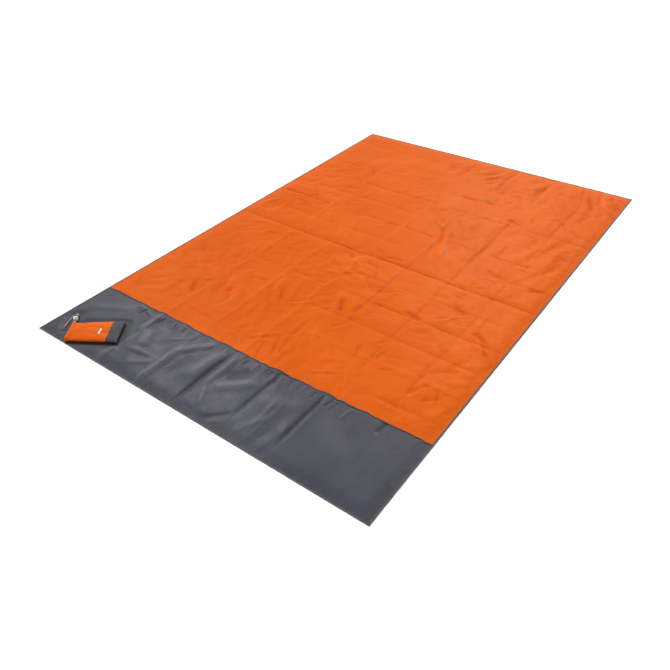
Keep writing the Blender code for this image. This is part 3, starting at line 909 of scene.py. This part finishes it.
def crease_field(x, y):
    """Height of the packing creases, and their tone: above 0 rubbed pale wear with a painted highlight,
    below 0 painted shade.
    """
    height, wear_highlight_and_shade = np.zeros_like(x), np.zeros_like(x)

    def press(away, patchy, along, start, end, softness, depth):
        reach = fade((along - start) / softness + 0.5) * fade((end - along) / softness + 0.5)
        strength = reach * (0.75 + 0.55 * patchy)
        height[:] += CREASE_RELIEF * depth / 1000 * strength * crease(away, CREASE_WIDTH)
        # The crease's tone: a ridge paler (wear and painted highlight), a hollow darker (painted shade).
        wear_highlight_and_shade[:] += depth / 2 * strength * np.exp(-(away / CREASE_TONE_WIDTH) ** 2)

    for row, start, end, depth in CROSS_CREASES:
        away = y - row * ROW - 0.0035 * noise(x / 0.16, row, 5) - 0.004 * noise(x / 0.5, row, 6)
        press(away, noise(x / 0.07, 3.7 * row, 7), x, start, end, 0.05, depth)
    for column, start, end, rise in LONG_CREASES:
        away = x - column * COLUMN - COLUMN_SHIFT - 0.006 * noise(y / 0.13, column, 8)
        press(away, noise(y / 0.08, 5.3 * column, 9), y, start, end, 0.06, rise)
    return height, np.clip(wear_highlight_and_shade, -1.0, 1.0)


def lattice_tilt(x, y):
    """Each packed panel lies a little tilted: straight between random heights at the crossings."""
    column, row = (x - COLUMN_SHIFT) / COLUMN, y / ROW
    left, low = np.floor(column), np.floor(row)
    right, up = column - left, row - low

    def post(dx, dy):
        return noise((left + dx) * 0.77 + 0.31, (low + dy) * 0.71 + 0.53, 21)

    return between_corners(post, right, up)


def grey_folds(x, y):
    """The grey panel's broad folds, running out from the seam."""
    away = SEAM_Y - y
    drift = x + 0.35 * away * noise(x / 0.20, 1.5, 31)
    broad = 0.0033 * (folds(drift / 0.11, away / 0.40, 32, 0.12) - 0.62)
    fine = 0.0009 * (folds(drift / 0.045, away / 0.16, 33, 0.14) - 0.62)
    slanting = 0.0026 * (folds((x - 0.7 * away) / 0.12, (0.7 * x + away) / 0.30, 34, 0.12) - 0.6)
    pleats = 0.0016 * noise(drift / 0.021, away / 0.09, 35) * np.exp(-away / 0.035)
    calm = 1 - 0.72 * fade((x - 0.30) / 0.10) - 0.60 * fade((-0.40 - x) / 0.10)
    return (broad + fine + slanting) * calm + pleats * (0.3 + 0.7 * calm)


# Bundles of parallel ripples: middle, half sizes of the patch, direction, spacing and height
RIPPLES = [
    ((0.06, 0.93), (0.17, 0.14), 55, 0.038, 0.0050), ((0.61, 0.92), (0.14, 0.17), -64, 0.036, 0.0044),
    ((-0.10, 0.93), (0.12, 0.13), 88, 0.050, 0.0045), ((0.30, 0.90), (0.14, 0.14), 78, 0.044, 0.0026),
    ((0.16, 0.30), (0.11, 0.22), -76, 0.038, 0.0046), ((0.58, 0.36), (0.14, 0.22), 74, 0.044, 0.0030),
    ((-0.02, -0.12), (0.14, 0.10), -24, 0.034, 0.0036), ((0.60, -0.30), (0.12, 0.10), -44, 0.036, 0.0036),
    ((-0.35, 0.76), (0.20, 0.10), 70, 0.050, 0.0030), ((0.12, -0.33), (0.14, 0.12), -62, 0.038, 0.0034),
    ((-0.22, -0.46), (0.20, 0.16), -62, 0.040, 0.0034), ((-0.50, -0.42), (0.18, 0.18), -46, 0.044, 0.0030),
]


def orange_folds(x, y):
    """The orange panel's crumples, calmer in patches and at the far left corner."""
    turned_x, turned_y = 0.8 * x - 0.6 * y, 0.6 * x + 0.8 * y
    bend_x, bend_y = 0.02 * noise(x / 0.12, y / 0.12, 41), 0.02 * noise(x / 0.12, y / 0.12, 42)
    large = 0.0036 * (folds((turned_x + bend_x) / 0.10, (turned_y + bend_y) / 0.15, 43) - 0.62)
    small = 0.0030 * (folds((turned_x + bend_y) / 0.046, (turned_y + bend_x) / 0.066, 44, 0.07) - 0.62)
    lively = 0.55 + 0.75 * noise(x / 0.33, y / 0.33, 45)
    calm = fade((x + 0.15) / 0.15) + fade((0.80 - y) / 0.12)
    height = (large + small) * np.clip(lively, 0.15, 1.2) * np.clip(calm, 0.12, 1.0)
    for number, (at, reach, angle, spacing, rise) in enumerate(RIPPLES):
        along, across = along_across(x, y, at, math.radians(angle))
        patch = np.exp(-((x - at[0]) / reach[0]) ** 2 - ((y - at[1]) / reach[1]) ** 2)
        height += rise * patch * noise((across + bend_x) / spacing, along / 0.16 + 0.5, 101 + number)
    seam_pull = 0.0011 * noise(x / 0.026, (y - SEAM_Y) / 0.11, 46) * np.exp(-(y - SEAM_Y) / 0.040)
    return height + seam_pull


# The sack's own stretch along and across the sack, and that of its cord and lock
PRESSING = [((-0.098, 0.096), (-0.060, 0.060)), ((0.083, 0.124), (-0.108, -0.016))]


def under_sack(x, y):
    """1 under the sack, its cord and its lock, where their weight keeps the cloth flat."""
    u, v = along_across(x, y, SACK_CENTRE, SACK_TURN)
    away = [np.hypot(outside(u, *along), outside(v, *across)) for along, across in PRESSING]
    return 1 - fade(np.minimum(*away) / FLAT_MARGIN)


def blanket_height(x, y):
    """Height of the cloth over the ground, and its tone: wear with a painted highlight on ridges, painted
    shade in hollows.
    """
    creases, wear_highlight_and_shade = crease_field(x, y)
    height = CLOTH_REST + creases + 0.0024 * lattice_tilt(x, y) + 0.0008 * noise(x / 0.3, y / 0.3, 51)
    on_grey = fade((SEAM_Y + 0.006 - y) / 0.012)
    height = height + grey_folds(x, np.minimum(y, SEAM_Y)) * on_grey
    height = height + orange_folds(x, np.maximum(y, SEAM_Y)) * (1 - on_grey)
    for at, angle, length, width, rise, bend, lean in wrinkles:
        near = (np.abs(x - at[0]) < length) & (np.abs(y - at[1]) < length)
        share = on_grey[near] if at[1] < SEAM_Y else 1 - on_grey[near]
        wrinkle = share * stroke(x[near], y[near], at, angle, length, width, 1.0, bend, lean)
        height[near] += rise * wrinkle
        # Raised wrinkles are painted paler (wear and painted highlight), hollow ones darker (painted
        # shade).
        wear_highlight_and_shade[near] += WRINKLE_TONE * rise * np.clip(wrinkle, 0.0, 1.0)
    edge = np.minimum(HALF_WIDTH - np.abs(x), HALF_LENGTH - np.abs(y))
    height = EDGE_REST + (height - EDGE_REST) * (0.16 + 0.84 * fade(edge / 0.05))
    height += 0.0006 * noise(x / 0.022, y / 0.022, 52) * (1 - fade(edge / 0.035))
    limit = FOLD_LIMIT + FOLD_SLOPE * np.abs(y)
    height = limit - positive(limit - height, 0.0004)
    pressed = under_sack(x, y)
    height = height * (1 - pressed) + PRESSED_REST * pressed
    return GAP + positive(height, 0.0005), np.clip(wear_highlight_and_shade, -1.0, 1.0)


def seam_shift(x, y):
    """How far the seam bows and is scalloped by its puckers, and the cloth beside it with it."""
    scallops = 0.0080 * np.abs(noise(x / 0.060, 0.5, 61)) - 0.0022
    wander = scallops + 0.0007 * noise(x / 0.018, 0.5, 62)
    bow = 0.015 * fade(x / 0.75) - 0.0115
    return wander * np.exp(-np.abs(y - SEAM_Y) / 0.03) + bow * np.exp(-np.abs(y - SEAM_Y) / 0.12)


HIDDEN_EDGE = 0.0030
SEAM_OVERLAP = 0.001
ORANGE_COUNT = (268, 340)
GREY_COUNT = (450, 100)


def fold_rows(low, high, count):
    """Places from low to high along the blanket, closer together where it folds."""
    rows = np.linspace(low, high, count)
    fine = np.linspace(-FOLD_BAND / 4, FOLD_BAND * 5 / 4, FOLD_ROWS)
    clear = (rows < 2 * fine[0] - fine[1]) | (rows > 2 * fine[-1] - fine[-2])
    return np.sort(np.concatenate([rows[clear], fine]))


def add_cloth(name, columns, along, material):
    across = np.linspace(-HALF_WIDTH + HIDDEN_EDGE, HALF_WIDTH - HIDDEN_EDGE, columns)
    x, y = np.meshgrid(across, along)
    height, wear_highlight_and_shade = blanket_height(x, y)
    y = y + seam_shift(x, y)
    faces = grid_faces(len(along), columns)
    # The crease attribute carries the wear, painted highlight and painted shade of the creases and
    # wrinkles.
    return add_mesh(name, points_at(x, y, height), faces, material, values={"crease": wear_highlight_and_shade})


def build_cloth():
    rows = fold_rows(SEAM_Y - SEAM_OVERLAP, HALF_LENGTH - HIDDEN_EDGE, ORANGE_COUNT[1])
    orange = add_cloth("orange_panel", ORANGE_COUNT[0], rows, orange_cloth)
    finish_piece(orange, None, "orange_cloth", "main_panel_near", "main_panel_far")

    rows = np.linspace(-HALF_LENGTH + HIDDEN_EDGE, SEAM_Y - SEAM_OVERLAP, GREY_COUNT[1])
    grey = add_cloth("grey_panel", GREY_COUNT[0], rows, grey_cloth)
    finish_piece(grey, "near_half", "grey_cloth", "end_panel")


# A closed outline of the folded tape: share of its width inwards, share of its thickness up
TAPE_SECTION = [
    (0.00, 0.50), (0.03, 0.78), (0.12, 0.95), (0.30, 1.00), (0.55, 0.97), (0.70, 0.90), (0.84, 1.00),
    (0.96, 0.95), (1.00, 0.78), (1.00, 0.22), (0.96, 0.05), (0.70, 0.00), (0.30, 0.00), (0.05, 0.12),
]
TAPE_THICKNESS = 0.0010
TAPE_STEP = 0.004
TAPE_UNDER_SHARE = 0.42
STITCH_SHARE = 0.70
STITCH_UP_SHARE = 0.92


def tape_stations():
    """Places round the blanket's edge, each with the direction inwards, mitred at the corners."""
    across = np.linspace(-HALF_WIDTH, HALF_WIDTH, round(2 * HALF_WIDTH / TAPE_STEP))
    along = fold_rows(-HALF_LENGTH, HALF_LENGTH, round(2 * HALF_LENGTH / TAPE_STEP))
    sides = [([(x, -HALF_LENGTH) for x in across], (0, 1)), ([(HALF_WIDTH, y) for y in along], (-1, 0)),
             ([(x, HALF_LENGTH) for x in across[::-1]], (0, -1)),
             ([(-HALF_WIDTH, y) for y in along[::-1]], (1, 0))]
    places, inwards = [], []
    for line, inward in sides:
        places += line[:-1]
        x, y = line[0]
        inwards += [(-math.copysign(1, x), -math.copysign(1, y))] + [inward] * (len(line) - 2)
    return np.array(places, float), np.array(inwards, float)


def tape_levels(places, inwards):
    """Underside and top of the tape at each station, following the edge of the cloth."""
    middle = places + inwards * TAPE_WIDTH / 2
    cloth, _ = blanket_height(middle[:, 0], middle[:, 1])
    far = lengths_along(places)
    pucker = 0.00022 * noise(far / 0.011, 0.5, 71)
    low = cloth - TAPE_THICKNESS * TAPE_UNDER_SHARE
    low = GAP / 3 + positive(low - GAP / 3, 0.0001)
    return low, low + TAPE_THICKNESS + pucker


def build_binding():
    """One tape folded over the edge all round, and its row of stitches."""
    places, inwards = tape_stations()
    low, high = tape_levels(places, inwards)
    far = lengths_along(places)
    width = TAPE_WIDTH * (1 + 0.07 * noise(far / 0.03, 2.5, 72))
    points = []
    for inward_share, up_share in TAPE_SECTION:
        plan = places + inwards * (width * inward_share)[:, None]
        points.append(np.concatenate([plan, (low + (high - low) * up_share)[:, None]], 1))
    points = np.stack(points, 1)
    faces = grid_faces(len(places), len(TAPE_SECTION), wrap_rows=True, wrap_columns=True)
    tape = add_mesh("edge_tape", points, faces, tape_paint, weld=True)
    finish_piece(tape, None, "grey_trim", "binding_near_end", "binding_far_end", "binding_left_near",
                 "binding_left_far", "binding_right_near", "binding_right_far")

    plan = places + inwards * TAPE_WIDTH * STITCH_SHARE
    line = np.concatenate([plan, (low + (high - low) * STITCH_UP_SHARE)[:, None]], 1)
    line = np.concatenate([line, line[:1]])
    add_stitches("edge_stitches", [stitch_row(line)], grey_thread, None, "grey_trim")


# The rolled seam: distance from its orange edge towards the grey panel and height, in mm
SEAM_SECTION = [
    (0.3, 0.10), (-0.2, 0.45), (0.0, 0.85), (0.6, 1.05), (1.5, 1.05), (2.3, 0.82), (3.2, 0.98), (4.0, 0.88),
    (4.5, 0.52), (5.4, 0.30), (5.4, -0.05), (3.0, -0.10), (1.2, -0.08),
]
SEAM_STEP = 0.003
SEAM_HALF_WIDTH = 0.0020


def build_seam():
    """The two panels' edges rolled together and sewn down in two rows."""
    count = round(2 * (HALF_WIDTH - HIDDEN_EDGE) / SEAM_STEP)
    x = np.linspace(-HALF_WIDTH + HIDDEN_EDGE, HALF_WIDTH - HIDDEN_EDGE, count)
    cloth, _ = blanket_height(x, np.full_like(x, SEAM_Y))
    line_y = SEAM_Y + SEAM_HALF_WIDTH + seam_shift(x, SEAM_Y)
    gather = 1 + 0.14 * noise(x / 0.012, 0.5, 81)
    points = []
    for back, up in SEAM_SECTION:
        z = np.maximum(cloth + up / 1000 * gather, GAP / 3)
        points.append(points_at(x, line_y - back / 1000, z))
    points = np.stack(points, 1)
    seam = add_mesh("felled_seam", points, tube_faces(count, len(SEAM_SECTION)), seam_paint, weld=True)
    finish_piece(seam, "near_half", "grey_trim", "panel_seam")

    rows = []
    for back, up in ((2.3, 0.86), (4.5, 0.56)):
        rows.append(stitch_row(points_at(x, line_y - back / 1000, cloth + up / 1000 * gather)))
    add_stitches("seam_stitches", rows, grey_thread, "near_half", "grey_trim")


# ---------------------------------------------------------------- sack

SIDE_POWER = 0.64
HEM_TUCK = 0.0015
SACK_SEED = 101
CORD_EXIT = (HEM_MID_X, -SACK_MOUTH_WIDTH / 2)


def sack_half_width(x, side):
    """Wider at the base than at the mouth, and pulled in on one side where the drawcord tugs."""
    share = (x + SACK_LENGTH / 2) / SACK_LENGTH
    half = ((1 - share) * SACK_BASE_WIDTH + share * SACK_MOUTH_WIDTH) / 2
    tug = np.where(side < 0, 0.0036 * np.exp(-((x - 0.056) / 0.018) ** 2), 0.0)
    wander = 0.0009 * noise(x / 0.030, np.sign(side), 91)
    return half - tug + wander


def sack_wrinkles(x, y, seed):
    """Soft dents, puckers along the hem and the base seam, and pleats running from the drawcord."""
    height = 0.0030 * (folds(x / 0.048, y / 0.036, seed) - 0.66)
    height = height + 0.0012 * (folds((x + y) / 0.022, (x - y) / 0.030, seed + 1) - 0.66)
    height = height + 0.0011 * noise(0.5, y / 0.0075, seed + 2) * np.exp(-(HEM_START_X - x) / 0.020)
    height = height + 0.0009 * noise(0.5, y / 0.009, seed + 3) * np.exp(-np.abs(x - SACK_SEAM_X) / 0.012)
    for step in range(5):
        angle = 196 - 24 * step
        turn = math.radians(angle)
        reach = 0.075 - 0.006 * step
        at = (CORD_EXIT[0] + reach / 2 * math.cos(turn), CORD_EXIT[1] + 0.004 + reach / 2 * math.sin(turn))
        height = height + stroke(x, y, at, angle, reach, 0.0036, 0.0014, 0.05, 0.5)
    return height


def sack_skin(x, angle, flatness):
    """A point of the sack at x; angle 0 is the side at +Y, a quarter turn is the top."""
    cosine, sine = np.cos(angle), np.sin(angle)
    across = np.sign(cosine) * np.abs(cosine) ** SIDE_POWER
    y = across * sack_half_width(x, cosine)
    up = np.abs(sine) ** SIDE_POWER
    height = SACK_HEIGHT / 2 * flatness
    top = SACK_MID_Z + height * up + sack_wrinkles(x, y, SACK_SEED) * up * up * flatness
    bottom = SACK_MID_Z - height * up + 0.4 * sack_wrinkles(x, y, SACK_SEED + 7) * up * up * flatness
    z = np.where(sine >= 0, top, GAP + positive(bottom - GAP, 0.0003))
    return points_at(x, y, z)


def build_sack_panels():
    along = np.linspace(SACK_SEAM_X, HEM_START_X + HEM_TUCK, 96)[:, None]
    for name, start, end, material in (
            ("sack_front", math.pi, 0.0, printed_cloth), ("sack_back", 0.0, -math.pi, sack_cloth)):
        points = sack_skin(along, np.linspace(start, end, 90), 1.0)
        panel = add_mesh(name, points, grid_faces(96, 90), material, SACK_PLACE)
        finish_piece(panel, "sack", "orange_cloth", name + "_panel")

    angles = full_turn(180)
    share = np.linspace(0.0, 1.0, 48)[:, None]
    bend = share * math.pi / 2
    flatness = np.clip(np.cos(bend), 0.0, 1.0) ** 0.55
    points = sack_skin(SACK_SEAM_X - BASE_LENGTH * np.sin(bend) ** 0.75, angles, flatness)
    ears = share ** 2 * np.abs(np.cos(angles)) ** 6
    points[..., 1] *= 1 + 0.05 * ears
    points[..., 0] -= 0.0016 * ears
    faces = grid_faces(48, 180, wrap_columns=True)
    base = add_mesh("sack_bottom", points, faces, sack_grey, SACK_PLACE, weld=True)
    finish_piece(base, "sack", "grey_cloth", "sack_base")


HEM_OVERHANG = 0.0006
HEM_CLOTH = 0.0004


def build_hem():
    """The drawcord channel: a flat tube of cloth, gathered towards the cord's exit, open at both ends."""
    count, sides = 210, 40
    line = round_the_mouth(-SACK_MOUTH_WIDTH / 2 - HEM_OVERHANG)
    line = resampled(line, lengths_along(line)[-1] / (count - 1))
    far = lengths_along(line)
    outward = line[:, 1:] - (MOUTH_TURN_Y, SACK_MID_Z)
    turn = outward[:, 0] > 0
    lean = np.where(turn, np.arctan2(outward[:, 1], outward[:, 0]), np.sign(outward[:, 1]) * math.pi / 2)
    normal = points_at(0.0, np.cos(lean), np.sin(lean))
    angle = full_turn(sides)
    from_exit = np.minimum(far, far[-1] - far)
    gather = 0.35 + 0.65 * np.exp(-from_exit / 0.030)
    ripple = noise(far / 0.0052, 0.5, 141) * gather
    thick = HEM_THICKNESS / 2 * (0.96 + 0.16 * ripple)
    wide = HEM_WIDTH / 2 * (1 + 0.05 * noise(far / 0.012, 0.5, 142))
    groove = 1 - 0.45 * np.exp(-((np.cos(angle) + 0.80) / 0.10) ** 2)
    along_x = np.sign(np.cos(angle)) * np.abs(np.cos(angle)) ** 0.7
    up = np.sign(np.sin(angle)) * np.abs(np.sin(angle)) ** 0.8 * groove
    points = line[:, None] + normal[:, None] * (thick[:, None] * up)[..., None]
    points[..., 0] += wide[:, None] * along_x + 0.0007 * ripple[:, None] * (np.cos(angle) > 0)
    faces = grid_faces(count, sides, wrap_columns=True)
    hem = add_mesh("sack_mouth_hem", points, faces, sack_cloth, SACK_PLACE)
    solid = hem.modifiers.new("cloth", "SOLIDIFY")
    solid.thickness = HEM_CLOTH
    solid.offset = -1.0
    finish_piece(hem, "sack", "orange_cloth", "sack_hem")


SACK_STITCHES_X = (SACK_SEAM_X + 0.0022, HEM_START_X - 0.0008)
SIDE_ANGLE = 0.10


def build_sack_stitches():
    """Rows beside the base seam and along the hem, front and back."""
    rows = []
    for low, high in ((math.pi - SIDE_ANGLE, SIDE_ANGLE), (-SIDE_ANGLE, SIDE_ANGLE - math.pi)):
        angles = np.linspace(low, high, 160)
        ups = points_at(0.0, np.cos(angles) ** 3, np.sin(angles))
        ups = ups / np.linalg.norm(ups, axis=1)[:, None]
        for x in SACK_STITCHES_X:
            line = sack_skin(x, angles, 1.0)
            rows.append(stitch_row(line, ups, pitch=0.0026, length=0.0020, radius=0.00020))
    add_stitches("sack_stitches", rows, orange_thread, "sack", "orange_cloth", SACK_PLACE)


# ---------------------------------------------------------------- build

add_camera()
add_studio()

ORANGE_TINT = (1.0, 0.64, 0.20)
GREY_TINT = (1.0, 0.93, 0.96)
orange_cloth = paint_cloth("orange_polyester", (0.520, 0.083, 0.005), (0.568, 0.098, 0.009),
                           (0.68, 0.16, 0.030), 0.37, 1.12, ORANGE_TINT)
grey_cloth = paint_cloth("grey_polyester", (0.044, 0.046, 0.059), (0.056, 0.059, 0.074),
                         (0.22, 0.22, 0.245), 0.37, 1.35, GREY_TINT, 0.22)
sack_look = ((0.58, 0.088, 0.004), (0.64, 0.106, 0.008), (0.66, 0.15, 0.035), 0.46, 1.2, ORANGE_TINT)
sack_cloth = paint_cloth("sack_polyester", *sack_look)
printed_cloth = paint_cloth("sack_polyester_printed", *sack_look, print_colour=(0.76, 0.70, 0.66))
sack_grey = paint_cloth("sack_grey_polyester", (0.042, 0.040, 0.045), (0.066, 0.063, 0.070),
                        (0.11, 0.11, 0.12), 0.48, 1.35, GREY_TINT)
seam_paint = paint_cloth("seam_polyester", (0.038, 0.038, 0.045), (0.052, 0.052, 0.060),
                         (0.08, 0.08, 0.09), 0.55, 1.3, GREY_TINT)
tape_paint = paint_tape()
grey_thread = paint_thread("grey_thread", (0.060, 0.060, 0.068), (0.12, 0.12, 0.13))
orange_thread = paint_thread("orange_thread", (0.55, 0.085, 0.010), (0.75, 0.16, 0.025))
braid = paint_braid()
plastic = paint_plastic()

tails, knot = build_drawcord()
lock_place = SACK_PLACE @ Matrix.Translation((*LOCK_PLACE, LOCK_Z))
barrel, plunger, spring = build_lock()

wrinkles = spread_wrinkles()
build_cloth()
build_binding()
build_seam()
build_sack_panels()
build_hem()
build_sack_stitches()
